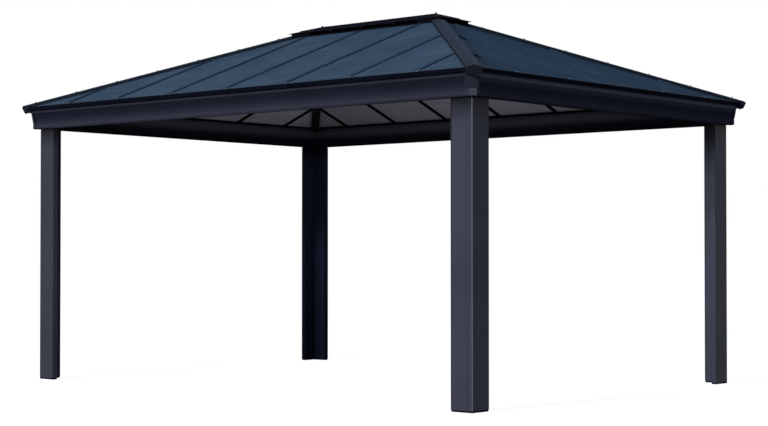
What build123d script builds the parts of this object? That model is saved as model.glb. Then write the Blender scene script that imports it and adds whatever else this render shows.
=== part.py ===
# Metal gazebo: an open frame of four corner posts and four gutter beams that carries a
# hipped roof of twin-wall sheets between glazing bars, with a raised vent lid at the ridge.
# Millimetres, +Z up, origin on the ground at the middle of the plan. The long side runs along X.
from build123d import *
from math import cos, radians, sin, sqrt, tan
import os

# ---------------------------------------------------------------- driving dimensions
sheet_pitch = 630          # from glazing bar to glazing bar
end_sheet = 550            # from the eave corner to the first glazing bar
long_bars = 3              # glazing bars each side of the middle one, long face
short_bars = 2             # the same, short face
headroom = 2122            # from the ground to the underside of the beams
eave_rise = 180            # from there up to the top of the roof edge
roof_pitch = 20.95         # degrees
eave_overhang = 110        # roof edge beyond the outer face of a post
edge_step = 8              # the roof edge stands this far over the tops of the sheets

post_leg = 184             # width of each leg of a post
post_thickness = 45        # thickness of each leg
post_corner_radius = 7
foot_thickness = 12
foot_inset = 3
top_plate_thickness = 6
top_plate_inset = 5

# beams: distances outward from the outer face of a post, heights over their underside
bead_foot = 40
bead_face = 50             # outer face of the bottom bead
bead_height = 28
cove_foot = 56             # outermost point at the foot of the cove
cove_depth = 54            # deepest point of the cove
cove_head = 73             # outermost point at the head of the cove
lip_face = 82              # outer face of the gutter lip
lip_bottom = 129
lip_top = 153
gutter_wall = 4
gutter_floor = 137
gutter_back = 10           # back of the gutter, the upstand under the sheets
upstand_width = 4
seat_drop = 10             # flat top of a beam below the sheets
shoulder_width = 40        # how far the rounded inner shoulder comes in
shoulder_drop = 74         # how far the rounded inner shoulder comes down

cover_cut = 50             # legs of the chamfer across a corner cover
cover_leg = 26             # how far a cover runs on beside its chamfer
cover_wall = 2.5
cover_head_face = 76
cover_foot_face = 66
cover_foot = 50
block_cut = 36
block_leg = 34
block_face = 59
block_height = 47

sheet_thickness = 10
sheet_gap = 6              # between two sheets, over a bar
hip_gap = 15               # from the hip line to the edge of a sheet
bar_width = 20
bar_depth = 20
bar_neck = 5
bar_cap_width = 26
bar_cap_thickness = 5
hip_rafter_width = 75
hip_rafter_depth = 70
hip_cover_width = 110
hip_cover_rise = 23        # ridge of a hip cover over the tops of the sheets
hip_cover_wall = 4
ridge_beam_width = 50
ridge_beam_drop = 12       # top of the ridge beam below the meeting line of the sheets
ridge_beam_depth = 75

trim_height = 27           # face of the eave trim
trim_wall = 2.7
trim_hook = 14             # how far the trim hooks over the sheets, and turns in below
cap_setback = 10           # nose of an eave corner cap, in from where the eaves would meet
cap_drop = 40              # lower edges of its sides below the roof edge
cap_tip = 47               # lower edge of its nose below the roof edge
cap_slant = 19             # how far the nose leans in
cap_wall = 2.5

# distances below are taken in plan from the ridge line
vent_opening = 95          # top ends of the sheets
flashing_outer = 192
flashing_inner = 85
flashing_thickness = 4
vent_block_face = 188
vent_block_wall = 25
vent_block_leg = 215       # along the long faces
vent_block_return = 80     # along the short faces
lid_half_width = 205
lid_rise = 26              # ridge of the lid over the meeting line of the sheets
lid_gap = 42               # under the edge of the lid, down to the sheets
lid_edge = 4
lid_wall = 3
lid_strip_width = 40
lid_strip_height = 5
lid_strip_reach = 195      # along each hip of the lid, in plan
bearer_spacing = 345
bearer_width = 25
bearer_depth = 18
knob_outset = 3            # a knob stands this far past the end of the lid's ridge
knob_radius = 9
knob_height = 6            # over the strips

fit = 0.3                  # clearance between pieces that seat on each other
lay = 0.3                  # clearance above and below the sheets

# ---------------------------------------------------------------- worked out from them
roof_half_long = long_bars * sheet_pitch + end_sheet
roof_half_short = short_bars * sheet_pitch + end_sheet
ridge_half = roof_half_long - roof_half_short
post_half_long = roof_half_long - eave_overhang
post_half_short = roof_half_short - eave_overhang
pitch_angle = radians(roof_pitch)
slope = tan(pitch_angle)
slope_length = 1 / cos(pitch_angle)      # length up the slope for each millimetre of plan
hip_slope = slope / sqrt(2)
hip_run = roof_half_short * sqrt(2)      # plan length of a hip
edge_top = headroom + eave_rise
eave_height = edge_top - edge_step       # tops of the sheets at the eave
ridge_height = eave_height + slope * roof_half_short
post_top = headroom - top_plate_thickness - fit
lip_foot = headroom + lip_bottom
cap_half = hip_cover_width / 2
cap_nose = (eave_overhang * sqrt(2)) - cap_setback
cap_root = (lip_face + fit) * sqrt(2) - cap_half + cap_wall
hip_cover_end = vent_block_face + fit      # the hip covers run up to the corner blocks of the vent
lid_top = ridge_height + lid_rise
lid_foot = ridge_height - slope * lid_half_width + lid_gap
up = Vector(0, 0, 1)

# outward direction, half length of the eave, distance of the eave from the middle,
# and how many bars there are each side of the middle one
sides = {
    "front": (Vector(0, -1, 0), roof_half_long, roof_half_short, long_bars),
    "right": (Vector(1, 0, 0), roof_half_short, roof_half_long, short_bars),
    "back": (Vector(0, 1, 0), roof_half_long, roof_half_short, long_bars),
    "left": (Vector(-1, 0, 0), roof_half_short, roof_half_long, short_bars),
}
corners = {
    "front_left": (-1, -1),
    "front_right": (1, -1),
    "back_right": (1, 1),
    "back_left": (-1, 1),
}


# ---------------------------------------------------------------- planes and shared shapes
def section_plane(side):
    """Across a side: x is outward from the outer face of the posts, y is the height."""
    outward, half_length, distance, count = sides[side]
    origin = outward * (distance - eave_overhang)
    return Plane(origin=origin, x_dir=outward, z_dir=outward.cross(up))


def face_plane(side, lift=0):
    """On top of the sheets of a side: x along the eave, y up the slope from the eave."""
    outward, half_length, distance, count = sides[side]
    normal = outward * sin(pitch_angle) + up * cos(pitch_angle)
    origin = outward * distance + up * eave_height + normal * lift
    return Plane(origin=origin, x_dir=up.cross(outward), z_dir=normal)


def bar_plane(side, reach):
    """Across the bars of a side, at a plan distance up from the eave: y is out of the roof."""
    face = face_plane(side)
    origin = face.origin + face.y_dir * (reach * slope_length)
    return Plane(origin=origin, x_dir=face.x_dir * -1, z_dir=face.y_dir)


def hip_side_plane(side, end, distance):
    """Upright plane beside the hip at one end of a side, facing out past that end."""
    outward, half_length, eave_distance, count = sides[side]
    along = up.cross(outward) * end
    normal = (along - outward).normalized()
    corner = along * half_length + outward * eave_distance
    return Plane(origin=corner - normal * distance, z_dir=normal)


def hip_section(corner, reach):
    """Upright plane across a hip, at a plan distance in from the eave corner: y is up."""
    x_sign, y_sign = corners[corner]
    inward = Vector(-x_sign, -y_sign, 0).normalized()
    eave_corner = Vector(x_sign * roof_half_long, y_sign * roof_half_short, eave_height)
    origin = eave_corner + (inward + up * hip_slope) * reach
    return Plane(origin=origin, x_dir=up.cross(inward), z_dir=inward)


def hip_direction(corner):
    x_sign, y_sign = corners[corner]
    inward = Vector(-x_sign, -y_sign, 0).normalized()
    return (inward + up * hip_slope).normalized()


def bar_positions(side):
    count = sides[side][3]
    return [step * sheet_pitch for step in range(-count, count + 1)]


def corner_plane(corner, distance, height):
    """Level plane at a corner of the posts: x and y run back along the two outer faces."""
    x_sign, y_sign = corners[corner]
    origin = (x_sign * (post_half_long + distance), y_sign * (post_half_short + distance), height)
    if x_sign * y_sign > 0:
        return Plane(origin=origin, x_dir=(-x_sign, 0, 0), z_dir=(0, 0, 1))
    return Plane(origin=origin, x_dir=(0, -y_sign, 0), z_dir=(0, 0, 1))


def corner_across(corner, distance, height):
    """Level plane on the diagonal of a corner of the posts: x points outward along it."""
    x_sign, y_sign = corners[corner]
    away = Vector(x_sign, y_sign, 0).normalized()
    origin = Vector(x_sign * post_half_long, y_sign * post_half_short, height) + away * distance
    return Plane(origin=origin, x_dir=away, z_dir=up)


def corner_wedge(corner, distance, bottom, top):
    """Everything outside an upright plane across a corner, between two heights."""
    with BuildPart() as wedge:
        with BuildSketch(corner_across(corner, distance, bottom)):
            Rectangle(3 * eave_overhang, 8 * eave_overhang, align=(Align.MIN, Align.CENTER))
        extrude(amount=top - bottom)
    return wedge.part


def cap_slot(corner):
    """Room for an eave corner cap, the full height of the roof edge."""
    with BuildPart() as slot:
        with BuildSketch(corner_across(corner, cap_root - fit, headroom)):
            Rectangle(3 * eave_overhang, 2 * (cap_half + fit), align=(Align.MIN, Align.CENTER))
        extrude(amount=2 * eave_rise)
    return slot.part


def leg_outline(length, width):
    """The L of a post, from its outer corner."""
    return [(0, 0), (length, 0), (length, width), (width, width), (width, length), (0, length)]


def folded_outline(cut, leg, wall):
    """Plan of a cover folded round a chamfered corner, from the corner of its outer faces."""
    inner = cut + wall * tan(radians(22.5))
    far = cut + leg
    return [(far, 0), (cut, 0), (0, cut), (0, far), (wall, far), (wall, inner), (inner, wall), (far, wall)]


def hip_block(half_x, half_y, ridge_x, edge_z, ridge_z, base_z):
    """Closed hipped block: upright sides to edge_z, then four slopes up to the ridge."""
    with BuildPart() as block:
        with BuildSketch(Plane.YZ):
            with BuildLine():
                Polyline((-half_y, base_z), (half_y, base_z), (half_y, edge_z),
                         (0, ridge_z), (-half_y, edge_z), close=True)
            make_face()
        extrude(amount=half_x, both=True)
        with BuildSketch(Plane.XZ):
            with BuildLine():
                Polyline((-half_x, base_z), (half_x, base_z), (half_x, edge_z),
                         (ridge_x, ridge_z), (-ridge_x, ridge_z), (-half_x, edge_z), close=True)
            make_face()
        extrude(amount=half_y, both=True, mode=Mode.INTERSECT)
    return block.part


def roof_body(lift, grow=0):
    """Everything under a roof raised by a height over the tops of the sheets."""
    return hip_block(roof_half_long + grow, roof_half_short + grow, ridge_half,
                     eave_height + lift - grow * slope, ridge_height + lift, headroom - eave_rise)


def finish(part, label):
    part.label = label
    export_step(part, f"parts/{label}.step")


# ---------------------------------------------------------------- posts
def post(corner):
    x_sign, y_sign = corners[corner]
    away = Vector(x_sign, y_sign, 0)
    with BuildPart() as angle:
        with BuildSketch(corner_plane(corner, 0, foot_thickness + fit)):
            with BuildLine():
                Polyline(*leg_outline(post_leg, post_thickness), close=True)
            make_face()
        extrude(amount=post_top - foot_thickness - fit)
        outer = angle.edges().filter_by(Axis.Z).sort_by(lambda edge: edge.center().dot(away))[-1]
        fillet(outer, post_corner_radius)
    return angle.part


def post_plates(inset, bottom, thickness):
    with BuildPart() as plates:
        for corner in corners:
            with BuildSketch(corner_plane(corner, -inset, bottom)):
                with BuildLine():
                    Polyline(*leg_outline(post_leg - 2 * inset, post_thickness - 2 * inset), close=True)
                make_face()
            extrude(amount=thickness)
    return plates.part


# ---------------------------------------------------------------- gutter beams
def sheet_top(distance):
    """Height of the tops of the sheets, at a distance outward from the face of the posts."""
    return eave_height + slope * (eave_overhang - distance)


def under_sheet(distance):
    return sheet_top(distance) - (sheet_thickness + 2 * lay) * slope_length


def beam_top():
    return under_sheet(gutter_back - upstand_width) - seat_drop


def beam(side):
    section = section_plane(side)
    half_length = sides[side][1]
    top = beam_top()
    upstand = gutter_back - upstand_width
    shoulder_foot = top - shoulder_drop
    shoulder_head = shoulder_width - post_thickness
    bead_top = headroom + bead_height
    gutter_base = headroom + gutter_floor
    lip_head = headroom + lip_top
    inside_lip = lip_face - gutter_wall
    inside_cover = (2 * cover_foot_face - cover_cut) / sqrt(2) - cover_wall - fit
    flush_with_cover = (2 * cover_head_face - cover_cut) / sqrt(2)
    with BuildPart() as run:
        with BuildSketch(section):
            with BuildLine():
                Polyline((-post_thickness, shoulder_foot), (-post_thickness, headroom),
                         (bead_foot, headroom))
                ThreePointArc((bead_foot, headroom), (bead_face, headroom + bead_height / 2),
                              (bead_face - 2, bead_top))
                Polyline((bead_face - 2, bead_top), (cove_foot, bead_top + 4))
                ThreePointArc((cove_foot, bead_top + 4), (cove_depth, (2 * bead_top + lip_foot) / 3),
                              (cove_head, lip_foot))
                Polyline((cove_head, lip_foot), (lip_face, lip_foot), (lip_face, lip_head),
                         (inside_lip, lip_head), (inside_lip, gutter_base),
                         (gutter_back, gutter_base), (gutter_back, under_sheet(gutter_back)),
                         (upstand, under_sheet(upstand)), (upstand, top), (shoulder_head, top))
                TangentArc((-post_thickness, shoulder_foot), (shoulder_head, top), tangent=(0, 1))
            make_face()
        extrude(amount=half_length, both=True)
        for end in (-1, 1):
            split(bisect_by=hip_side_plane(side, end, fit / 2), keep=Keep.BOTTOM)
        for corner in corners:
            add(corner_wedge(corner, inside_cover, 0, lip_foot), mode=Mode.SUBTRACT)
            add(corner_wedge(corner, flush_with_cover, lip_foot, edge_top), mode=Mode.SUBTRACT)
    return run.part


def corner_cover(corner):
    with BuildPart() as cover:
        for height, face in ((headroom + cover_foot, cover_foot_face), (lip_foot - fit, cover_head_face)):
            with BuildSketch(corner_plane(corner, face, height)):
                with BuildLine():
                    Polyline(*folded_outline(cover_cut, cover_leg, cover_wall), close=True)
                make_face()
        loft(ruled=True)
    return cover.part


def corner_blocks():
    with BuildPart() as blocks:
        for corner in corners:
            with BuildSketch(corner_plane(corner, block_face, headroom)):
                with BuildLine():
                    Polyline(*folded_outline(block_cut, block_leg, cover_wall), close=True)
                make_face()
            extrude(amount=block_height)
    return blocks.part


# ---------------------------------------------------------------- rafters and bars
def beam_seat(side):
    """Room taken by a beam under the bars and rafters, with its clearance."""
    inner = -post_thickness - fit
    outer = gutter_back - upstand_width - fit
    seat = beam_top() + fit
    with BuildPart() as room:
        with BuildSketch(section_plane(side)):
            with BuildLine():
                Polyline((inner, headroom), (eave_overhang, headroom), (eave_overhang, ridge_height),
                         (outer, ridge_height), (outer, seat), (inner, seat), close=True)
            make_face()
        extrude(amount=roof_half_long, both=True)
    return room.part


def hip_rafter(corner):
    x_sign, y_sign = corners[corner]
    start = eave_overhang / 2
    half_width = hip_rafter_width / 2
    high = -(sheet_thickness + lay) * slope_length
    fall = half_width * hip_slope
    low = high - hip_rafter_depth
    with BuildPart() as rafter:
        with BuildSketch(hip_section(corner, start)):
            with BuildLine():
                Polyline((-half_width, low), (half_width, low), (half_width, high - fall),
                         (0, high), (-half_width, high - fall), close=True)
            make_face()
        reach = hip_run - start + hip_rafter_width
        extrude(amount=reach * sqrt(1 + hip_slope ** 2), dir=hip_direction(corner))
        split(bisect_by=Plane(origin=(x_sign * ridge_half, 0, 0), z_dir=(x_sign, 0, 0)), keep=Keep.TOP)
        split(bisect_by=Plane(origin=(0, y_sign * fit / 2, 0), z_dir=(0, y_sign, 0)), keep=Keep.TOP)
        for side in sides:
            add(beam_seat(side), mode=Mode.SUBTRACT)
    return rafter.part


def ridge_beam():
    half = ridge_beam_width / 2
    top = ridge_height - ridge_beam_drop
    with BuildPart() as ridge:
        with BuildSketch(Plane.YZ):
            with BuildLine():
                Polyline((-half, top - ridge_beam_depth), (half, top - ridge_beam_depth),
                         (half, top - 5), (half - 5, top), (5 - half, top), (-half, top - 5), close=True)
            make_face()
        extrude(amount=ridge_half - fit, both=True)
    return ridge.part


def trim_ridge(side):
    """Cuts what has run past the face of the ridge beam, or past the end of the ridge."""
    outward, half_length, distance, count = sides[side]
    stop = distance - roof_half_short
    if stop == 0:
        stop = ridge_beam_width / 2 + fit
    split(bisect_by=Plane(origin=outward * stop, z_dir=outward), keep=Keep.TOP)


def bars(side):
    foot_top = -sheet_thickness - lay
    shelf = roof_half_short - ridge_beam_width / 2 - fit
    with BuildPart() as feet:
        with BuildSketch(bar_plane(side, eave_overhang / 2)):
            with Locations(*[(place, foot_top - bar_depth / 2) for place in bar_positions(side)]):
                Rectangle(bar_width, bar_depth)
        extrude(amount=shelf * slope_length)
        for end in (-1, 1):
            split(bisect_by=hip_side_plane(side, end, hip_rafter_width / 2 + fit), keep=Keep.BOTTOM)
        add(beam_seat(side), mode=Mode.SUBTRACT)
        trim_ridge(side)
    start = trim_hook + trim_wall + fit
    end_of_cap = roof_half_short - flashing_outer - fit
    with BuildPart() as heads:
        with BuildSketch(bar_plane(side, start)):
            for place in bar_positions(side):
                with Locations((place, (foot_top + lay) / 2)):
                    Rectangle(bar_neck, -foot_top + lay)
                with Locations((place, lay + bar_cap_thickness / 2)):
                    Rectangle(bar_cap_width, bar_cap_thickness)
        extrude(amount=(end_of_cap - start) * slope_length)
        for end in (-1, 1):
            split(bisect_by=hip_side_plane(side, end, hip_cover_width / 2 + fit), keep=Keep.BOTTOM)
        add(feet.part)
    return heads.part


# ---------------------------------------------------------------- roof covering
def sheets(side):
    half_length = sides[side][1]
    foot = trim_wall + fit
    head = roof_half_short - vent_opening
    width = half_length - hip_gap * sqrt(2)
    with BuildPart() as cover:
        with BuildSketch(face_plane(side)):
            with BuildLine():
                Polyline((foot - width, foot * slope_length), (width - foot, foot * slope_length),
                         (width - head, head * slope_length), (head - width, head * slope_length),
                         close=True)
            make_face()
            with Locations(*[(place, head * slope_length / 2) for place in bar_positions(side)]):
                Rectangle(sheet_gap, 2 * head * slope_length, mode=Mode.SUBTRACT)
        extrude(amount=-sheet_thickness)
        for corner in corners:
            add(cap_slot(corner), mode=Mode.SUBTRACT)
    return cover.part


def hip_cover(corner):
    """Folded cover over a hip: two slopes parallel to the roof, and sides down to the sheets."""
    half = hip_cover_width / 2
    inner = half - hip_cover_wall
    under = hip_cover_rise - hip_cover_wall * slope_length
    foot = lay * slope_length
    start = eave_overhang * sqrt(2) - cap_root + fit
    end = (roof_half_short - hip_cover_end) * sqrt(2)
    with BuildPart() as cover:
        with BuildSketch(hip_section(corner, start)):
            with BuildLine():
                Polyline((-half, foot - half * hip_slope), (-inner, foot - inner * hip_slope),
                         (-inner, under - inner * hip_slope), (0, under),
                         (inner, under - inner * hip_slope), (inner, foot - inner * hip_slope),
                         (half, foot - half * hip_slope), (half, hip_cover_rise - half * hip_slope),
                         (0, hip_cover_rise), (-half, hip_cover_rise - half * hip_slope), close=True)
            make_face()
        extrude(amount=(end - start) * sqrt(1 + hip_slope ** 2), dir=hip_direction(corner))
        add(vent_ring(flashing_outer + fit, 0, 2 * lay + flashing_thickness), mode=Mode.SUBTRACT)
    return cover.part


def eave_trim(side):
    half_length = sides[side][1]
    face = eave_overhang
    inside = face - trim_wall
    hook = face - trim_hook
    under = trim_wall * slope_length
    bottom = edge_top - trim_height
    with BuildPart() as trim:
        with BuildSketch(section_plane(side)):
            with BuildLine():
                Polyline((face, bottom), (face, edge_top), (hook, sheet_top(hook) + edge_step),
                         (hook, sheet_top(hook) + lay), (hook + trim_wall, sheet_top(hook + trim_wall) + lay),
                         (hook + trim_wall, sheet_top(hook + trim_wall) + edge_step - under),
                         (inside, sheet_top(inside) + edge_step - under), (inside, bottom + trim_wall),
                         (hook, bottom + trim_wall), (hook, bottom), close=True)
            make_face()
        extrude(amount=half_length, both=True)
        for corner in corners:
            add(cap_slot(corner), mode=Mode.SUBTRACT)
    return trim.part


def cap_shape(corner, wall, sides_bottom, nose_bottom):
    """End of a hip with a leaning nose, under the slopes of the hip covers."""
    nose = cap_nose - wall
    chin = nose - cap_slant
    level = sheet_top(eave_overhang)
    across = corner_across(corner, 0, 0)
    profile = Plane(origin=across.origin, x_dir=across.x_dir, z_dir=across.x_dir.cross(up))
    root = cap_root - wall
    throat = chin - 3 * cap_wall + wall
    under = hip_cover_rise - wall * slope_length
    with BuildPart() as shape:
        with BuildSketch(profile):
            with BuildLine():
                Polyline((root, sides_bottom), (throat, sides_bottom), (throat, nose_bottom),
                         (chin, nose_bottom), (nose, level), (nose, ridge_height),
                         (root, ridge_height), close=True)
            make_face()
        extrude(amount=cap_half - wall, both=True)
        add(roof_body(under, 2 * eave_overhang), mode=Mode.INTERSECT)
    return shape.part


def eave_corner_caps():
    with BuildPart() as caps:
        for corner in corners:
            outside = cap_shape(corner, 0, edge_top - cap_drop, edge_top - cap_tip)
            inside = cap_shape(corner, cap_wall, lip_foot, lip_foot - 1)
            add(outside - inside)
    return caps.part


# ---------------------------------------------------------------- ridge vent
def vent_ring(outer, inner, lift):
    """Under a roof raised over the sheets, between two rectangles in plan round the ridge."""
    with BuildPart() as ring:
        with BuildSketch(Plane.XY.offset(eave_height)):
            Rectangle(2 * (ridge_half + outer), 2 * outer)
            if inner > 0:
                Rectangle(2 * (ridge_half + inner), 2 * inner, mode=Mode.SUBTRACT)
        extrude(amount=lid_top - eave_height)
        add(roof_body(lift), mode=Mode.INTERSECT)
    return ring.part


def vent_flashing():
    with BuildPart() as flashing:
        add(vent_ring(flashing_outer, flashing_inner, lay + flashing_thickness))
        add(roof_body(lay), mode=Mode.SUBTRACT)
    return flashing.part


def vent_blocks():
    stand = roof_body(2 * lay + flashing_thickness)
    top = lid_top - lid_drop() - vent_block_face * lid_slope() - fit
    with BuildPart() as blocks:
        for x_sign, y_sign in corners.values():
            with BuildSketch(Plane.XY.offset(eave_height)):
                x_face = x_sign * (ridge_half + vent_block_face)
                y_face = y_sign * vent_block_face
                x_in = x_face - x_sign * vent_block_wall
                y_in = y_face - y_sign * vent_block_wall
                x_far = x_face - x_sign * vent_block_leg
                y_far = y_face - y_sign * vent_block_return
                with BuildLine():
                    Polyline((x_face, y_face), (x_face, y_far), (x_in, y_far), (x_in, y_in),
                             (x_far, y_in), (x_far, y_face), close=True)
                make_face()
            extrude(amount=top - eave_height)
        add(stand, mode=Mode.SUBTRACT)
    return blocks.part


def lid_slope():
    return (lid_top - lid_foot - lid_edge) / lid_half_width


def lid_drop():
    return lid_wall * sqrt(1 + lid_slope() ** 2)


def lid_outside(lift):
    half = lid_half_width
    return hip_block(ridge_half + half, half, ridge_half,
                     lid_foot + lid_edge + lift, lid_top + lift, lid_foot)


def vent_lid():
    inner = lid_half_width - lid_wall
    under = lid_top - lid_drop()
    inside = hip_block(ridge_half + inner, inner, ridge_half,
                       under - inner * lid_slope(), under, lid_foot - 1)
    with BuildPart() as lid:
        add(lid_outside(0))
        add(inside, mode=Mode.SUBTRACT)
    return lid.part


def vent_bearers():
    end = lid_half_width - lid_wall - fit
    top = lid_top - lid_drop() - fit
    seat = ridge_height - ridge_beam_drop + fit
    half = ridge_beam_width / 2
    arm = end * lid_slope()
    root = half * lid_slope()
    with BuildPart() as bearers:
        for place in (-bearer_spacing, 0, bearer_spacing):
            with BuildSketch(Plane.YZ.offset(place)):
                with BuildLine():
                    Polyline((-end, top - arm), (0, top), (end, top - arm),
                             (end, top - arm - bearer_depth), (half, top - root - bearer_depth),
                             (half, seat), (-half, seat), (-half, top - root - bearer_depth),
                             (-end, top - arm - bearer_depth), close=True)
                make_face()
            extrude(amount=bearer_width / 2, both=True)
    return bearers.part


def lid_strips():
    """Raised strips along the ridge and down the upper part of each hip of the lid."""
    run = lid_strip_reach / sqrt(2)
    with BuildPart() as strips:
        with BuildSketch(Plane.XY.offset(lid_foot)):
            Rectangle(2 * ridge_half, lid_strip_width)
            for x_sign, y_sign in corners.values():
                with Locations((x_sign * (ridge_half + run / 2), y_sign * run / 2)):
                    Rectangle(lid_strip_reach, lid_strip_width, rotation=45 * x_sign * y_sign)
        extrude(amount=lid_top + lid_strip_height)
        add(lid_outside(fit + lid_strip_height), mode=Mode.INTERSECT)
        add(lid_outside(fit), mode=Mode.SUBTRACT)
    return strips.part


def lid_knobs():
    place = ridge_half + knob_outset
    seat = lid_strip_height + 2 * fit
    with BuildPart() as knobs:
        for x in (-place, place):
            with Locations((x, 0, lid_foot)):
                Cylinder(knob_radius, lid_top + seat + knob_height - lid_foot,
                         align=(Align.CENTER, Align.CENTER, Align.MIN))
        add(lid_outside(seat), mode=Mode.SUBTRACT)
    return knobs.part


# ---------------------------------------------------------------- pieces
os.makedirs("parts", exist_ok=True)
finish(post_plates(foot_inset, 0, foot_thickness), "foot_plates")
finish(post_plates(top_plate_inset, post_top + fit / 2, top_plate_thickness), "post_top_plates")
finish(corner_blocks(), "corner_blocks")
finish(ridge_beam(), "ridge_beam")
finish(eave_corner_caps(), "eave_corner_caps")
finish(vent_flashing(), "vent_flashing")
finish(vent_blocks(), "vent_blocks")
finish(vent_lid(), "vent_lid")
finish(vent_bearers(), "vent_bearers")
finish(lid_strips(), "lid_strips")
finish(lid_knobs(), "lid_knobs")
for corner in corners:
    finish(post(corner), f"post_{corner}")
    finish(corner_cover(corner), f"corner_cover_{corner}")
    finish(hip_rafter(corner), f"hip_rafter_{corner}")
    finish(hip_cover(corner), f"hip_cover_{corner}")
for side in sides:
    finish(beam(side), f"beam_{side}")
    finish(bars(side), f"bars_{side}")
    finish(sheets(side), f"sheets_{side}")
    finish(eave_trim(side), f"eave_trim_{side}")
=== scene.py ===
# Metal garden gazebo with a twin-wall roof and a raised ridge vent, shown on a pale floor.
import math
import bmesh
import bpy
from mathutils import Matrix, Vector


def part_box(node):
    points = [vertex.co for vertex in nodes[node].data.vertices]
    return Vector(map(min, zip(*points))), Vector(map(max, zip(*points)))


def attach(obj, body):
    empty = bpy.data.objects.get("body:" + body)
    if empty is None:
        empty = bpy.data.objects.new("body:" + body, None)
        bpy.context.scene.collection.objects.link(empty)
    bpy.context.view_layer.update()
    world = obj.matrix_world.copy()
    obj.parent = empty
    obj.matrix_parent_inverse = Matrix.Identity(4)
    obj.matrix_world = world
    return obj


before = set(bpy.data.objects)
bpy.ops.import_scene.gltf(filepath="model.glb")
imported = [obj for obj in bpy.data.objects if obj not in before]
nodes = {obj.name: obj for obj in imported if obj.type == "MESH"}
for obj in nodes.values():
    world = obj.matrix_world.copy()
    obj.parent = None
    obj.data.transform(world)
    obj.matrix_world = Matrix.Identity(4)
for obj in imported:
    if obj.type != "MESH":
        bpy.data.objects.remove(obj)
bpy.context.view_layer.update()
print("frame loaded:", len(nodes), "nodes")

# Sizes read from the frame, in metres from the middle of the plan.
trimLip = 0.008  # how far the eave trim stands above the edge of the sheets
roofPitch = 20.95  # degrees
postFace = (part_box("post_front_right")[1].x, -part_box("post_front_right")[0].y)
eave = (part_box("eave_trim_right")[1].x, -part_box("eave_trim_front")[0].y)
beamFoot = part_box("beam_front")[0].z
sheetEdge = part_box("eave_trim_front")[1].z - trimLip
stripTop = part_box("lid_strips")[1].z
slope = math.tan(math.radians(roofPitch))  # rise of the sheets for each metre inwards

cameraSettings = {
    "place": (9.225, -10.533, 1.084),  # m, standing height a little under the eaves
    "tilt": 90.992,  # degrees from straight down
    "turn": 40.928,  # degrees from looking along Y
    "lens": 78.44,
    "sensor": 36,
    "shift": (-0.0024, 0.0118),
    "clipEnd": 200,
}


def addCamera(settings):
    lens = bpy.data.cameras.new("camera")
    lens.lens = settings["lens"]
    lens.sensor_width = settings["sensor"]
    lens.shift_x, lens.shift_y = settings["shift"]
    lens.clip_end = settings["clipEnd"]
    camera = bpy.data.objects.new("camera", lens)
    camera.location = settings["place"]
    camera.rotation_euler = (math.radians(settings["tilt"]), 0, math.radians(settings["turn"]))
    bpy.context.scene.collection.objects.link(camera)
    bpy.context.scene.camera = camera


addCamera(cameraSettings)
print("camera set")


# An sRGB hex colour as the linear one that a shader reads, opaque.
def linear(hexCode):
    parts = [int(hexCode[i:i + 2], 16) / 255 for i in (1, 3, 5)]
    return [p / 12.92 if p <= 0.04045 else ((p + 0.055) / 1.055) ** 2.4 for p in parts] + [1.0]


# Adds a node with its settings and links, and gives back one of its outputs. The stops are places
# and colours on a colour ramp.
def addNode(material, kind, inputs=None, out=0, stops=None, **settings):
    node = material.node_tree.nodes.new(kind)
    for name, value in settings.items():
        setattr(node, name, value)
    for socket, value in (inputs or {}).items():
        if isinstance(value, bpy.types.NodeSocket):
            material.node_tree.links.new(value, node.inputs[socket])
        else:
            node.inputs[socket].default_value = value
    if stops:
        elements = node.color_ramp.elements
        elements[0].position, elements[0].color = stops[0][0], linear(stops[0][1])
        elements[1].position, elements[1].color = stops[-1][0], linear(stops[-1][1])
        for place, shade in stops[1:-1]:
            elements.new(place).color = linear(shade)
    return node.outputs[out]


mixShare, mixUnder, mixOver, mixResult = 0, 6, 7, 2  # sockets of a node that mixes two colours


def newMaterial(name):
    material = bpy.data.materials.new(name)
    material.use_nodes = True
    shader = material.node_tree.nodes["Principled BSDF"]
    return material, shader


def finishMaterial(material, shader, colour, bump, paint):
    material.node_tree.links.new(colour, shader.inputs["Base Color"])
    material.node_tree.links.new(bump, shader.inputs["Normal"])
    shader.inputs["Roughness"].default_value = paint["roughness"]
    shader.inputs["Specular IOR Level"].default_value = paint["shine"]
    return material


# Colours at places along a measure in metres, counted from a start, fading from each to the next.
def colourAlong(material, measure, bands, start=0.0):
    low, high = bands[0][0], bands[-1][0]
    span = addNode(material, "ShaderNodeMapRange",
                   {"Value": measure, "From Min": start + low, "From Max": start + high})
    stops = [((place - low) / (high - low), shade) for place, shade in bands]
    return addNode(material, "ShaderNodeValToRGB", {"Fac": span}, stops=stops)


# How far out a point lies from the faces of the posts: the MAXIMUM or MINIMUM of X and Y.
def distanceOut(material, axes, which):
    beyond = []
    for axis, face in zip(axes, postFace):
        away = addNode(material, "ShaderNodeMath", {0: axis}, operation="ABSOLUTE")
        beyond.append(addNode(material, "ShaderNodeMath", {0: away, 1: face}, operation="SUBTRACT"))
    return addNode(material, "ShaderNodeMath", {0: beyond[0], 1: beyond[1]}, operation=which)


coatTexture = {
    "patches": 1.7,  # per metre: the coat is slightly cloudy over half a metre or so
    "patchDetail": 4.0,
    "patchRoughness": 0.6,
    "patchSpread": (0.3, 0.7),  # values of the cloud that get the darker and the lighter colour
    "patchColours": ("#ececec", "#ffffff"),  # the same cloud over a colour that changes with height
    "peel": 260.0,  # per metre: orange peel with grains of about 4 mm
    "peelDetail": 2.0,
    "peelStrength": 0.12,
    "peelHeight": 0.002,  # m
}
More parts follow.
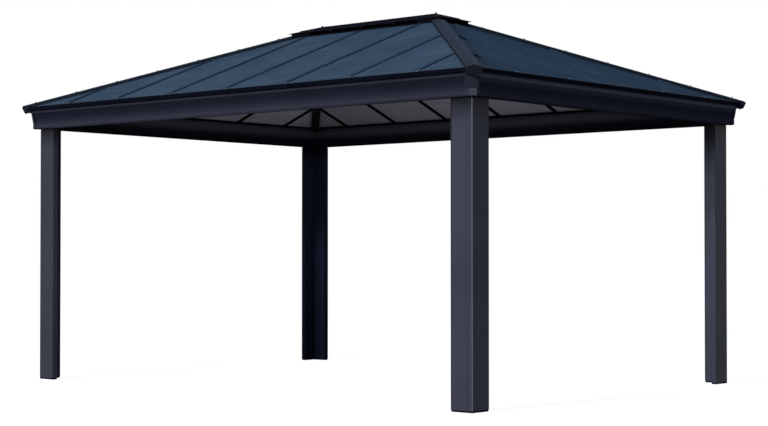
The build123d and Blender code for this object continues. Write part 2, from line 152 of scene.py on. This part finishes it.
# The values of its measure that a layer of the coat fades in between.
layerFades = {
    "endways": (0.15, 0.25),  # how far a face is turned along X
    "diagonal": (0.2, 0.3),  # how far a face is turned along X and Y at once
    "inner": 0.004,  # m, over which the painted light and shade inside ends
    "below": (-0.002, -0.004),  # m from the top of the sheets
    "under": 0.1,  # range of the upward turn over which the shade on undersides ends
    "cornerHighlight": (-0.0045, -0.0025),  # m from the outer corner of a post, over which its painted highlight fades in
    "whole": (0.0, 1.0),  # for a layer whose measure is 1 everywhere
}


# What lies over the plain coat, in order: a measure, the values it fades in between, its colour and
# how it blends. Apart from the cloud, these are light and shade painted into the colour; the lines
# draw the extrusion in painted shade and light.
def coatLayers(material, paint, cloud, axes, ways):
    layers = []
    if "bands" in paint:
        stops = list(zip(coatTexture["patchSpread"], coatTexture["patchColours"]))
        patches = addNode(material, "ShaderNodeValToRGB", {"Fac": cloud}, stops=stops)
        layers.append((1.0, layerFades["whole"], patches, "MULTIPLY"))
    if "endways" in paint:  # painted light or shade on faces turned along X
        turned = addNode(material, "ShaderNodeMath", {0: ways[0]}, operation="ABSOLUTE")
        layers.append((turned, layerFades["endways"], linear(paint["endways"]), "MIX"))
    if "inner" in paint:  # painted light and shade inside the frame, by height
        outward = distanceOut(material, axes, "MAXIMUM")
        fade = (paint["innerFrom"] + layerFades["inner"], paint["innerFrom"])
        inside = colourAlong(material, axes[2], paint["inner"], paint["foot"])
        layers.append((outward, fade, inside, "MIX"))
    if "below" in paint:  # painted shade, near black, where a bar runs below the sheets
        axis = paint["roofAxis"]
        away = addNode(material, "ShaderNodeMath", {0: axes[axis]}, operation="ABSOLUTE")
        level = addNode(material, "ShaderNodeMath", {0: away, 1: slope, 2: axes[2]},
                        operation="MULTIPLY_ADD")
        sheets = sheetEdge + slope * eave[axis]
        fade = [sheets + part for part in layerFades["below"]]
        layers.append((level, fade, linear(paint["below"]), "MIX"))
    if "diagonal" in paint:  # painted light on faces cut across a corner
        both = addNode(material, "ShaderNodeMath", {0: ways[0], 1: ways[1]}, operation="MULTIPLY")
        turned = addNode(material, "ShaderNodeMath", {0: both}, operation="ABSOLUTE")
        layers.append((turned, layerFades["diagonal"], linear(paint["diagonal"]), "MIX"))
    if "head" in paint:  # painted shadow of the beam on the head of a post
        start, end, shade = paint["head"]
        layers.append((axes[2], (start, end), linear(shade), "MIX"))
    if "under" in paint:  # painted shade on undersides and upright edges
        fade = (paint["underFrom"] + layerFades["under"], paint["underFrom"])
        layers.append((ways[2], fade, linear(paint["under"]), "MIX"))
    if "lines" in paint:  # lines of the extrusion in painted shade and light, and a painted highlight on the outer corner
        inward = distanceOut(material, axes, "MINIMUM")
        marks = colourAlong(material, inward, [(-place, shade) for place, shade in paint["lines"]])
        layers.append((1.0, layerFades["whole"], marks, "MULTIPLY"))
        layers.append((inward, layerFades["cornerHighlight"], linear(paint["cornerHighlight"]), "MIX"))
    return layers


# Polyester powder coat on aluminium: matt, with a fine orange peel and slightly cloudy. Moulded
# nylon and rubber are as matt and as fine in the grain, so they are made here too.
def powderCoat(name, paint):
    material, shader = newMaterial(name)
    coordinates = addNode(material, "ShaderNodeTexCoord").node.outputs
    place = coordinates["Object"]
    axes = addNode(material, "ShaderNodeSeparateXYZ", {"Vector": place}).node.outputs
    ways = addNode(material, "ShaderNodeSeparateXYZ", {"Vector": coordinates["Normal"]}).node.outputs
    cloud = addNode(material, "ShaderNodeTexNoise",
                    {"Vector": place, "Scale": coatTexture["patches"],
                     "Detail": coatTexture["patchDetail"], "Roughness": coatTexture["patchRoughness"]})
    peel = addNode(material, "ShaderNodeTexNoise",
                   {"Vector": place, "Scale": coatTexture["peel"], "Detail": coatTexture["peelDetail"]})
    bump = addNode(material, "ShaderNodeBump",
                   {"Strength": coatTexture["peelStrength"], "Distance": coatTexture["peelHeight"],
                    "Height": peel})
    if "bands" in paint:
        colour = colourAlong(material, axes[2], paint["bands"], paint["foot"])
    else:
        stops = list(zip(coatTexture["patchSpread"], (paint["dark"], paint["light"])))
        colour = addNode(material, "ShaderNodeValToRGB", {"Fac": cloud}, stops=stops)
    for measure, (start, end), over, way in coatLayers(material, paint, cloud, axes, ways):
        share = addNode(material, "ShaderNodeMapRange",
                        {"Value": measure, "From Min": start, "From Max": end})
        colour = addNode(material, "ShaderNodeMix", {mixShare: share, mixUnder: colour, mixOver: over},
                         out=mixResult, data_type="RGBA", blend_type=way)
    return finishMaterial(material, shader, colour, bump, paint)


# Extruded twin-wall polycarbonate, smoked blue: satin skins over ribs that run up the slope, with
# faint drag marks across them.
def twinWall(name, skin):
    material, shader = newMaterial(name)
    coordinates = addNode(material, "ShaderNodeTexCoord").node.outputs
    place = coordinates["Object"]
    axes = addNode(material, "ShaderNodeSeparateXYZ", {"Vector": place}).node.outputs
    ways = addNode(material, "ShaderNodeSeparateXYZ", {"Vector": coordinates["Normal"]}).node.outputs
    turns = addNode(material, "ShaderNodeMath",
                    {0: axes[skin["across"]], 1: 2 * math.pi / skin["ribSpacing"]}, operation="MULTIPLY")
    wave = addNode(material, "ShaderNodeMath", {0: turns}, operation="SINE")
    cloud = addNode(material, "ShaderNodeTexNoise",
                    {"Vector": place, "Scale": skin["patches"], "Detail": skin["patchDetail"]})
    scales = [skin["streaks"]] * 3
    scales[skin["across"]] = skin["streakRun"]
    stretched = addNode(material, "ShaderNodeMapping", {"Vector": place, "Scale": scales})
    streak = addNode(material, "ShaderNodeTexNoise",
                     {"Vector": stretched, "Scale": 1.0, "Detail": skin["streakDetail"]})
    faint = addNode(material, "ShaderNodeMath",
                    {0: streak, 1: skin["streakShare"], 2: -skin["streakShare"] / 2},
                    operation="MULTIPLY_ADD")
    soft = addNode(material, "ShaderNodeMath", {0: faint, 1: cloud}, operation="ADD")
    shade = addNode(material, "ShaderNodeMath", {0: wave, 1: skin["ribShare"], 2: soft},
                    operation="MULTIPLY_ADD")
    bump = addNode(material, "ShaderNodeBump",
                   {"Strength": skin["ribStrength"], "Distance": skin["ribHeight"], "Height": wave})
    top, below = [addNode(material, "ShaderNodeValToRGB", {"Fac": shade},
                          stops=list(zip(skin["spread"], skin[side]))) for side in ("top", "below")]
    upper = addNode(material, "ShaderNodeMath", {0: ways[2], 1: 0.0}, operation="GREATER_THAN")
    colour = addNode(material, "ShaderNodeMix", {mixShare: upper, mixUnder: below, mixOver: top},
                     out=mixResult, data_type="RGBA")
    return finishMaterial(material, shader, colour, bump, skin)


# Charcoal powder coat on the posts: matt and faintly blue, with painted shade, nearly black, inside
# the angle. The lines are painted shade and light along the extrusion, by the distance in from the
# outer corner, which has a painted highlight.
postPaint = {
    "dark": "#343641", "light": "#3a3c48", "roughness": 0.5, "shine": 0.08,
    "foot": 0.0, "inner": [(0.0, "#0e111d"), (2.1, "#0b0e1a")], "innerFrom": -0.044,
    "lines": [(0.2, "#f4f4f4"), (0.1838, "#f4f4f4"), (0.183, "#b4b4b4"), (0.174, "#b4b4b4"),
              (0.170, "#f4f4f4"), (0.158, "#ffffff"), (0.150, "#f4f4f4"), (0.050, "#f4f4f4"),
              (0.045, "#d2d2d2"), (0.040, "#f4f4f4"), (0.0, "#f4f4f4")],
    # painted highlight along the outer corner of a post
    "cornerHighlight": "#82858f",
    "head": (beamFoot - 0.167, beamFoot + 0.008, "#07080c"),
}
# The front left post: a little darker all over, as painted shade, and painted light on the faces turned
# along X.
leftPostPaint = {**postPaint, "dark": "#2f313b", "light": "#343641", "endways": "#3e404b",
                 "inner": [(0.0, "#23252e"), (2.1, "#14161e")]}
# The far post: quite matt, with the shade inside also on the ends of its legs.
farPostPaint = {**postPaint, "innerFrom": -0.004, "shine": 0.005,
                "inner": [(0.0, "#141826"), (2.1, "#1c2031")]}
# The back right post: painted light inside and on the leg ends, most of all in its upper half.
backPostPaint = {**postPaint, "innerFrom": -0.004,
                 "inner": [(0.0, "#3f424f"), (1.09, "#3f424f"), (1.24, "#4a4d59"), (1.38, "#5d606e"),
                           (1.5, "#6b6f7e"), (1.67, "#6b6f7e"), (1.81, "#5a5e6c"), (1.96, "#383b47"),
                           (2.1, "#1a1c25")]}
# The gutter beams: quite matt, in bands of painted light and shade for the bead, the cove and the lip
# of the profile, by the height above the foot of the beams.
beamPaint = {
    "roughness": 0.6, "shine": 0.0, "foot": beamFoot,
    "inner": [(0.000, "#09090e"), (0.068, "#14141b"), (0.118, "#32313b"), (0.175, "#48474f"),
              (0.182, "#050507")],
    "innerFrom": -0.02,
    "bands": [(0.000, "#3a3d4b"), (0.005, "#30323d"), (0.025, "#30323d"), (0.028, "#3a3c48"),
              (0.032, "#3a3c48"), (0.035, "#282a35"), (0.083, "#1b1d28"), (0.123, "#191b26"),
              (0.129, "#292a35"), (0.177, "#292a35"), (0.183, "#050508")],
}
# The beams of the short sides: the same coat with their own bands of painted light and shade.
sideBeamPaint = {
    **beamPaint,
    "bands": [(0.000, "#1e202a"), (0.005, "#323441"), (0.025, "#323441"), (0.028, "#3b3d48"),
              (0.032, "#3b3d48"), (0.035, "#2c2e3d"), (0.083, "#242637"), (0.123, "#3a3c4d"),
              (0.129, "#5e606e"), (0.177, "#42434e"), (0.183, "#050508")],
}
# Cast corner covers and blocks in the same coat; the blocks are paler as painted light, and the cut
# faces have painted light too.
coverPaint = {"dark": "#1f212c", "light": "#242631", "diagonal": "#292a35", "roughness": 0.5,
              "shine": 0.02}
blockPaint = {"dark": "#292b36", "light": "#2f313c", "diagonal": "#42444f", "roughness": 0.5,
              "shine": 0.02}
# Moulded nylon caps at the eave's corners: matt, near black.
capPaint = {"dark": "#191b22", "light": "#1d1f27", "roughness": 0.6, "shine": 0.02}
# Rafters under the hips and the ridge: powder coat painted near black as painted shade, as they show
# against the sheets.
rafterPaint = {"dark": "#040406", "light": "#060609", "roughness": 0.6, "shine": 0.01}
# Glazing bars: their caps have a paler blue near that of the sheets, and below these they have painted
# shade, near black.
barPaint = {"dark": "#465c76", "light": "#4d647f", "below": "#050507", "roughness": 0.55,
            "shine": 0.002}
# The bars of the short slopes: a little darker, as painted shade.
shortBarPaint = {**barPaint, "dark": "#445a72", "light": "#4a6079"}
# Folded hip covers: matt slate, with painted light on the facet turned to the short side.
hipPaint = {"dark": "#2a3240", "light": "#2f3746", "endways": "#3c4758", "under": "#1c222b",
            "underFrom": 0.5, "roughness": 0.6, "shine": 0.002}
# Vent flashing, eave trim and lid: the same coat, painted in three near-black tones as painted shade,
# with no gloss to see. The ends of the lid have painted light, a little paler.
flashingPaint = {"dark": "#0c0e13", "light": "#111318", "roughness": 0.6, "shine": 0.003}
trimPaint = {"dark": "#080a12", "light": "#0b0d17", "roughness": 0.5, "shine": 0.003}
lidPaint = {"dark": "#171920", "light": "#1c1e26", "endways": "#2e3038", "roughness": 0.6,
            "shine": 0.0}
# Moulded nylon on the knobs and blocks of the vent, black and duller than the coat. The foot plates
# and bearers, which hardly show, have it too.
nylonPaint = {"dark": "#0a0a0e", "light": "#0e0e13", "roughness": 0.65, "shine": 0.01}

# Smoked sheets, blue from above and a warmer grey from below. They are opaque here, and that grey
# is painted light that stands for the light that comes through real ones. The short slopes have painted
# shade above and painted light below, though real sheets are all alike. The ribs of such sheets lie
# 11 mm apart, too fine to show, and are drawn at 32 mm.
sheetSkin = {
    "top": ("#304255", "#405467"), "below": ("#545158", "#5e5b62"),
    "spread": (0.3, 0.75),  # values of the pattern that get the darker and the lighter colour
    "across": 0,  # axis across the ribs
    "ribSpacing": 0.032, "ribShare": 0.16, "ribStrength": 0.1, "ribHeight": 0.002,
    "patches": 2.2, "patchDetail": 5.0,  # per metre
    "streaks": 34.0, "streakRun": 1.6,  # per metre: drag marks 30 mm wide and 0.6 m long
    "streakDetail": 2.0, "streakShare": 0.7,
    "roughness": 0.6, "shine": 0.002,
}
sideSkin = {**sheetSkin, "top": ("#243a50", "#304a61"), "below": ("#626069", "#6c6a73"), "across": 1}

# Finishes by the first part of a node's name. The longest that fits counts, and the last one is for
# all the rest.
finishes = {
    "post_": powderCoat("powderCoatPost", postPaint),
    "post_front_left": powderCoat("powderCoatPostLeft", leftPostPaint),
    "post_back_left": powderCoat("powderCoatPostFar", farPostPaint),
    "post_back_right": powderCoat("powderCoatPostBack", backPostPaint),
    "beam_": powderCoat("powderCoatBeam", beamPaint),
    "beam_left": powderCoat("powderCoatBeamLeft", sideBeamPaint),
    "beam_right": powderCoat("powderCoatBeamRight", sideBeamPaint),
    "corner_cover": powderCoat("powderCoatCover", coverPaint),
    "corner_blocks": powderCoat("powderCoatBlock", blockPaint),
    "eave_corner_caps": powderCoat("mouldedCap", capPaint),
    "hip_rafter": powderCoat("powderCoatRafter", rafterPaint),
    "ridge_beam": powderCoat("powderCoatRidge", rafterPaint),
    "bars_front": powderCoat("powderCoatBarFront", {**barPaint, "roofAxis": 1}),
    "bars_back": powderCoat("powderCoatBarBack", {**barPaint, "roofAxis": 1}),
    "bars_left": powderCoat("powderCoatBarLeft", {**shortBarPaint, "roofAxis": 0}),
    "bars_right": powderCoat("powderCoatBarRight", {**shortBarPaint, "roofAxis": 0}),
    "hip_cover": powderCoat("powderCoatHip", hipPaint),
    "vent_flashing": powderCoat("powderCoatFlashing", flashingPaint),
    "eave_trim": powderCoat("powderCoatTrim", trimPaint),
    "vent_lid": powderCoat("powderCoatLid", lidPaint),
    "lid_strips": powderCoat("powderCoatStrip", lidPaint),
    "sheets_front": twinWall("polycarbonateFront", sheetSkin),
    "sheets_back": twinWall("polycarbonateBack", sheetSkin),
    "sheets_left": twinWall("polycarbonateLeft", sideSkin),
    "sheets_right": twinWall("polycarbonateRight", sideSkin),
    "": powderCoat("mouldedNylon", nylonPaint),
}
for name, node in nodes.items():
    match = max((key for key in finishes if name.startswith(key)), key=len)
    for holder in node.material_slots:
        holder.material = finishes[match]
print("finishes given")


def addPiece(bm, name, material):
    bmesh.ops.recalc_face_normals(bm, faces=bm.faces)
    mesh = bpy.data.meshes.new(name)
    bm.to_mesh(mesh)
    bm.free()
    mesh.materials.append(material)
    piece = bpy.data.objects.new(name, mesh)
    bpy.context.scene.collection.objects.link(piece)
    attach(piece, "root")
    print("made", name)


# Heads of screws and bolts as stacks of short cones, in metres: a washer first, where there is one.
screwHead = [{"sides": 16, "radius": 0.0085, "taper": 0.92, "height": 0.0016, "foot": 0.0003},
             {"sides": 12, "radius": 0.0055, "taper": 0.75, "height": 0.0030, "foot": 0.0019}]
smallHead = [{"sides": 12, "radius": 0.0045, "taper": 0.75, "height": 0.0022, "foot": 0.0003}]
hexHead = [{"sides": 20, "radius": 0.0120, "taper": 0.95, "height": 0.0020, "foot": 0.0003},
           {"sides": 6, "radius": 0.0085, "taper": 0.94, "height": 0.0060, "foot": 0.0023}]
rimShare = 0.3  # of a cone's height that its rounded rim takes up


# A head standing on a face, with its rims rounded over.
def addHead(bm, place, normal, head):
    turn = Vector((0, 0, 1)).rotation_difference(normal).to_matrix().to_4x4()
    for part in head:
        middle = place + normal * (part["foot"] + part["height"] / 2)
        made = bmesh.ops.create_cone(bm, cap_ends=True, segments=part["sides"], radius1=part["radius"],
                                     radius2=part["radius"] * part["taper"], depth=part["height"],
                                     matrix=Matrix.Translation(middle) @ turn)
        top = [v for v in made["verts"] if (v.co - middle).dot(normal) > 0]
        rim = [e for e in {e for v in top for e in v.link_edges} if all(v in top for v in e.verts)]
        bmesh.ops.bevel(bm, geom=rim, offset=part["height"] * rimShare, offset_type="OFFSET",
                        segments=2, profile=0.5, affect="EDGES", material=-1)


# Top of the sheets under a point of the plan, and which way the sheet there faces.
def roofAt(x, y):
    runs = (eave[0] - abs(x), eave[1] - abs(y))
    turned = math.atan(slope)
    if runs[0] < runs[1]:
        normal = Vector((math.copysign(math.sin(turned), x), 0, math.cos(turned)))
    else:
        normal = Vector((0, math.copysign(math.sin(turned), y), math.cos(turned)))
    return Vector((x, y, sheetEdge + slope * min(runs))), normal


corners = [(x, y) for x in (-1, 1) for y in (-1, 1)]
screwPaint = {"dark": "#262d38", "light": "#2b333f", "roughness": 0.5, "shine": 0.01}
screwFinish = powderCoat("paintedScrew", screwPaint)  # painted steel, dull slate like what it holds

# Screws with rubber washers down both slopes of each hip cover: the first and the last by their run
# in from the corner of the eave, beside the middle of the cover, and above the sheets.
hipScrews = {"first": 0.12, "last": 2.18, "count": 7, "beside": 0.034, "rise": 0.023}


def makeHipScrews(settings):
    bm = bmesh.new()
    step = (settings["last"] - settings["first"]) / (settings["count"] - 1)
    for xSign, ySign in corners:
        for number in range(settings["count"]):
            reach = settings["first"] + step * number
            for beside in (-settings["beside"], settings["beside"]):
                x = xSign * (eave[0] - (reach - beside) / math.sqrt(2))
                y = ySign * (eave[1] - (reach + beside) / math.sqrt(2))
                place, normal = roofAt(x, y)
                addHead(bm, place + Vector((0, 0, settings["rise"])), normal, screwHead)
    addPiece(bm, "hip_screws", screwFinish)


# Small screws in the slanted faces of the corner covers, and one in each block below. Heights are
# above the foot of the beams, and the faces lean out by "lean" for each metre above "leanFoot".
coverScrews = {"heights": (0.068, 0.112), "back": 0.063, "face": 0.0605, "lean": 0.127,
               "leanFoot": 0.006, "blockHeight": 0.0235, "blockFace": 0.041}


def makeCoverScrews(settings):
    bm = bmesh.new()
    lean = settings["lean"]
    for xSign, ySign in corners:
        for height in settings["heights"]:
            out = settings["face"] + lean * (height - settings["leanFoot"])
            along = out - settings["back"]
            z = beamFoot + height
            addHead(bm, Vector((xSign * (postFace[0] + along), ySign * (postFace[1] + out), z)),
                    Vector((0, ySign, -lean)).normalized(), smallHead)
            addHead(bm, Vector((xSign * (postFace[0] + out), ySign * (postFace[1] + along), z)),
                    Vector((xSign, 0, -lean)).normalized(), smallHead)
        place = Vector((xSign * (postFace[0] + settings["blockFace"]),
                        ySign * (postFace[1] + settings["blockFace"]),
                        beamFoot + settings["blockHeight"]))
        addHead(bm, place, Vector((xSign, ySign, 0)).normalized(), smallHead)
    addPiece(bm, "cover_screws", finishes["corner_cover"])


makeHipScrews(hipScrews)
makeCoverScrews(coverScrews)

# The glazing bars: one in the middle of each side of the roof, and so many each way from it.
barPlaces = {"pitch": 0.63, "long": 3, "short": 2}


# A bar of the slope that faces outward, so far along the eave from its middle.
def barAt(outward, place):
    axis = 1 if outward.x == 0 else 0
    along = Vector((1, 0, 0)) if axis else Vector((0, 1, 0))
    return {"axis": axis, "place": place, "along": along, "outward": outward,
            "normal": (outward * slope + Vector((0, 0, 1))).normalized(),
            "upSlope": (Vector((0, 0, slope)) - outward).normalized()}


def listBars(settings):
    bars = []
    for sign in (-1, 1):
        for outward, half in ((Vector((0, sign, 0)), settings["long"]),
                              (Vector((sign, 0, 0)), settings["short"])):
            bars += [barAt(outward, number * settings["pitch"]) for number in range(-half, half + 1)]
    return bars


# A point on the sheets, so far to the side of a bar's middle line and so far in from the eave.
def besideBar(bar, side, reach):
    point = bar["along"] * (bar["place"] + side) + bar["outward"] * (eave[bar["axis"]] - reach)
    point.z = sheetEdge + slope * reach
    return point


# A flat strip lying on the sheets with its length up the slope.
def addStrip(bm, bar, point, strip, length):
    middle = point + bar["normal"] * (strip["height"] / 2 + strip["gap"])
    turn = Matrix((bar["along"], bar["upSlope"], bar["normal"])).transposed().to_4x4()
    sizes = Matrix.Diagonal((strip["width"], length, strip["height"], 1))
    bmesh.ops.create_cube(bm, size=1, matrix=Matrix.Translation(middle) @ turn @ sizes)


bars = listBars(barPlaces)

# Rubber seals pressed out beside each cap, from the eave up to the vent or the hip: dull and dark.
barSeals = {"start": 0.019, "end": 0.198, "hip": 0.066, "offset": 0.0147, "width": 0.0026,
            "height": 0.0032, "gap": 0.0002, "round": 0.0006,
            "longEdge": 0.05}  # edges longer than this are rounded
rubberPaint = {"dark": "#1f2a36", "light": "#23303d", "roughness": 0.8, "shine": 0.01}


def makeBarSeals(settings):
    bm = bmesh.new()
    for bar in bars:
        start = settings["start"]
        toHip = eave[1 - bar["axis"]] - abs(bar["place"]) - settings["hip"] * math.sqrt(2)
        end = min(eave[1] - settings["end"], toHip)
        length = (end - start) * math.sqrt(1 + slope * slope)
        for side in (-settings["offset"], settings["offset"]):
            addStrip(bm, bar, besideBar(bar, side, (start + end) / 2), settings, length)
    rounded = [e for e in bm.edges if e.calc_length() > settings["longEdge"]]
    bmesh.ops.bevel(bm, geom=rounded, offset=settings["round"], offset_type="OFFSET", segments=2,
                    profile=0.5, affect="EDGES", material=-1)
    addPiece(bm, "bar_seals", powderCoat("sealRubber", rubberPaint))


# A pressed and painted tab each side of a bar holds the sheet's lower edge; its pale colour is
# painted light.
sheetClips = {"offset": 0.0265, "reach": 0.038, "width": 0.018, "length": 0.030, "height": 0.0016,
              "gap": 0.0002, "round": 0.0004}
clipPaint = {"dark": "#5d7088", "light": "#65788f", "roughness": 0.5, "shine": 0.003}


def makeSheetClips(settings):
    bm = bmesh.new()
    for bar in bars:
        for side in (-settings["offset"], settings["offset"]):
            point = besideBar(bar, side, settings["reach"])
            addStrip(bm, bar, point, settings, settings["length"])
    bmesh.ops.bevel(bm, geom=list(bm.edges), offset=settings["round"], offset_type="OFFSET",
                    segments=2, profile=0.5, affect="EDGES", material=-1)
    addPiece(bm, "sheet_clips", powderCoat("paintedClip", clipPaint))


# A screw on the eave trim below each bar.
trimScrews = {"reach": 0.0075, "lift": 0.0081}


def makeTrimScrews(settings):
    bm = bmesh.new()
    for bar in bars:
        head = besideBar(bar, 0, settings["reach"]) + Vector((0, 0, settings["lift"]))
        addHead(bm, head, bar["normal"], smallHead)
    addPiece(bm, "trim_screws", screwFinish)


makeBarSeals(barSeals)
makeSheetClips(sheetClips)
makeTrimScrews(trimScrews)

# Hexagon bolts inside the posts, at the foot and under the beam: blackened steel, dark and dull.
postBolts = {"heights": (0.07, 0.16, 1.93, 2.04), "back": 0.12, "wall": 0.045}
boltPaint = {"dark": "#090a0f", "light": "#0d0e14", "roughness": 0.45, "shine": 0.05}


def makePostBolts(settings):
    bm = bmesh.new()
    inner = [face - settings["wall"] for face in postFace]
    middle = [face - settings["back"] for face in postFace]
    for xSign, ySign in corners:
        for height in settings["heights"]:
            addHead(bm, Vector((xSign * inner[0], ySign * middle[1], height)),
                    Vector((-xSign, 0, 0)), hexHead)
            addHead(bm, Vector((xSign * middle[0], ySign * inner[1], height)),
                    Vector((0, -ySign, 0)), hexHead)
    addPiece(bm, "post_bolts", powderCoat("blackenedBolt", boltPaint))


# Screws on the strip along the ridge of the lid.
lidScrews = {"places": (-0.54, -0.27, 0.0, 0.27, 0.54), "beside": 0.012, "fall": 0.2854}


def makeLidScrews(settings):
    bm = bmesh.new()
    height = stripTop - settings["beside"] * settings["fall"]
    for x in settings["places"]:
        for side in (-1, 1):
            addHead(bm, Vector((x, side * settings["beside"], height)),
                    Vector((0, side * settings["fall"], 1)).normalized(), smallHead)
    addPiece(bm, "lid_screws", screwFinish)


makePostBolts(postBolts)
makeLidScrews(lidScrews)
print("pieces made")


# The rays that show the background: what the camera sees, and what gloss and glass show of it.
def shownRays(material):
    rays = addNode(material, "ShaderNodeLightPath").node.outputs
    seen = addNode(material, "ShaderNodeMath", {0: rays["Is Camera Ray"], 1: rays["Is Glossy Ray"]},
                   operation="MAXIMUM")
    return addNode(material, "ShaderNodeMath", {0: seen, 1: rays["Is Transmission Ray"]},
                   operation="MAXIMUM")


# Pale matt ground that reads as white and still takes the shadow.
floorSettings = {"half": 150, "colour": "#a8a8a8", "seen": 0.875, "roughness": 0.9}


def addFloor(settings):
    bm = bmesh.new()
    bmesh.ops.create_grid(bm, x_segments=1, y_segments=1, size=settings["half"])
    mesh = bpy.data.meshes.new("floor")
    bm.to_mesh(mesh)
    bm.free()
    floor = bpy.data.objects.new("floor", mesh)
    material, shader = newMaterial("paleFloor")
    shader.inputs["Base Color"].default_value = linear(settings["colour"])
    shader.inputs["Roughness"].default_value = settings["roughness"]
    shader.inputs["Specular IOR Level"].default_value = 0.0
    shader.inputs["Emission Color"].default_value = linear("#ffffff")
    lift = addNode(material, "ShaderNodeMath", {0: shownRays(material), 1: settings["seen"]},
                   operation="MULTIPLY")
    material.node_tree.links.new(lift, shader.inputs["Emission Strength"])
    mesh.materials.append(material)
    bpy.context.scene.collection.objects.link(floor)


keyLamp = {"place": (-1.1, -30, 9.3), "aim": (0, 0, 1.5), "size": 3, "power": 8400}
# Daylight that pale ground throws up under the roof.
roofGlow = {"place": (0, 0, 0.3), "aim": (0, 0, 3), "size": 2.5, "power": 38}


def addLamp(name, settings):
    light = bpy.data.lights.new(name, "AREA")
    light.size = settings["size"]
    light.energy = settings["power"]
    lamp = bpy.data.objects.new(name, light)
    lamp.location = settings["place"]
    lamp.rotation_euler = (Vector(settings["aim"]) - lamp.location).to_track_quat("-Z", "Y").to_euler()
    lamp.visible_camera = False
    lamp.visible_glossy = False
    bpy.context.scene.collection.objects.link(lamp)


worldSettings = {"colour": "#e2eaff", "strength": 0.40, "shown": "#ffffff"}


def setWorld(settings):
    world = bpy.data.worlds.new("studio")
    bpy.context.scene.world = world
    world.use_nodes = True
    light = world.node_tree.nodes["Background"]
    light.inputs["Color"].default_value = linear(settings["colour"])
    light.inputs["Strength"].default_value = settings["strength"]
    seen = addNode(world, "ShaderNodeBackground", {"Color": linear(settings["shown"]), "Strength": 1.0})
    mix = addNode(world, "ShaderNodeMixShader", {0: shownRays(world), 1: light.outputs[0], 2: seen})
    world.node_tree.links.new(mix, world.node_tree.nodes["World Output"].inputs["Surface"])


addFloor(floorSettings)
addLamp("keyLamp", keyLamp)
addLamp("roofGlow", roofGlow)
setWorld(worldSettings)
bpy.context.scene.view_settings.view_transform = "Standard"
print("stage set")
